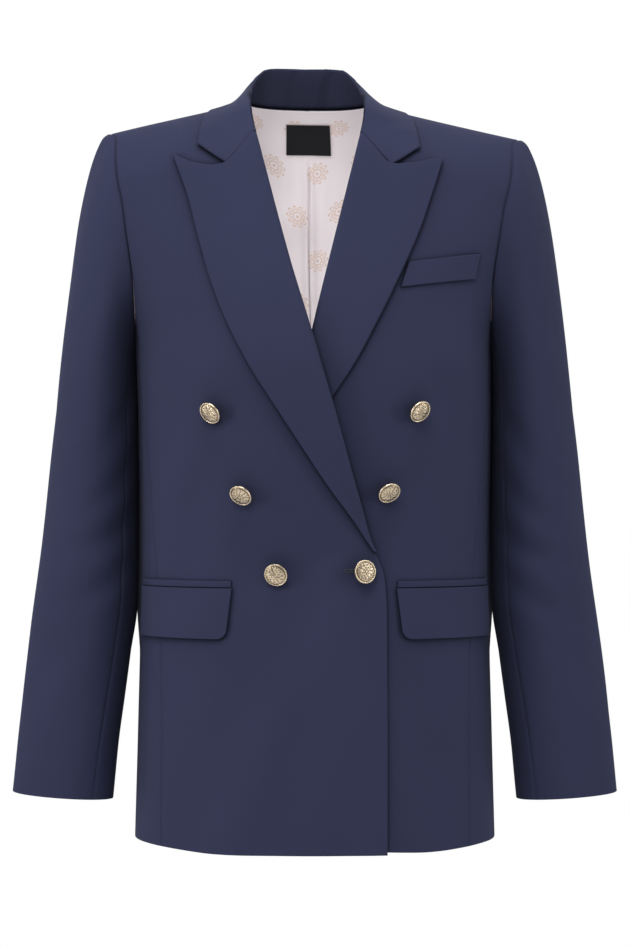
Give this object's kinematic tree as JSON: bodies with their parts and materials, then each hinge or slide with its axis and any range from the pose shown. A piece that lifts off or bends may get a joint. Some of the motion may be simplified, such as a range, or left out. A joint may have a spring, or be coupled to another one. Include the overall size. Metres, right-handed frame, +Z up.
{
  "type": "double breasted blazer",
  "caption": "Hollow worn-form double breasted blazer with peak lapels, padded shoulders, two flap pockets, a breast welt and domed shank buttons.",
  "frame": {"origin": "middle of the neck opening, level with the highest points of the two shoulder seams", "axes": "+Z up along the garment's length, -Y out of the front, +X towards the wearer's left"},
  "size_m": [0.5812, 0.2633, 0.755],
  "materials": {
    "suiting": "smooth fine twill with a soft sheen",
    "lining": "satin with small tan motifs",
    "label": "woven satin, bare",
    "button": "antiqued, raised rim and rosette"
  },
  "bodies": {
    "root": {"front_right": "suiting", "front_left": "suiting", "side_right": "suiting", "side_left": "suiting", "back_right": "suiting", "back_left": "suiting", "lapel_right": "suiting", "lapel_left": "suiting", "collar": "suiting", "sleeve_top_right": "suiting", "sleeve_top_left": "suiting", "sleeve_under_right": "suiting", "sleeve_under_left": "suiting", "flap_right": "suiting", "flap_left": "suiting", "jet_right": "suiting", "jet_left": "suiting", "breast_welt": "suiting", "lining_back_right": "lining", "lining_back_left": "lining", "neck_label": "label", "button_1": "button", "button_2": "button", "button_3": "button", "button_4": "button", "button_5": "button", "button_6": "button"}
  },
  "joints": []
}
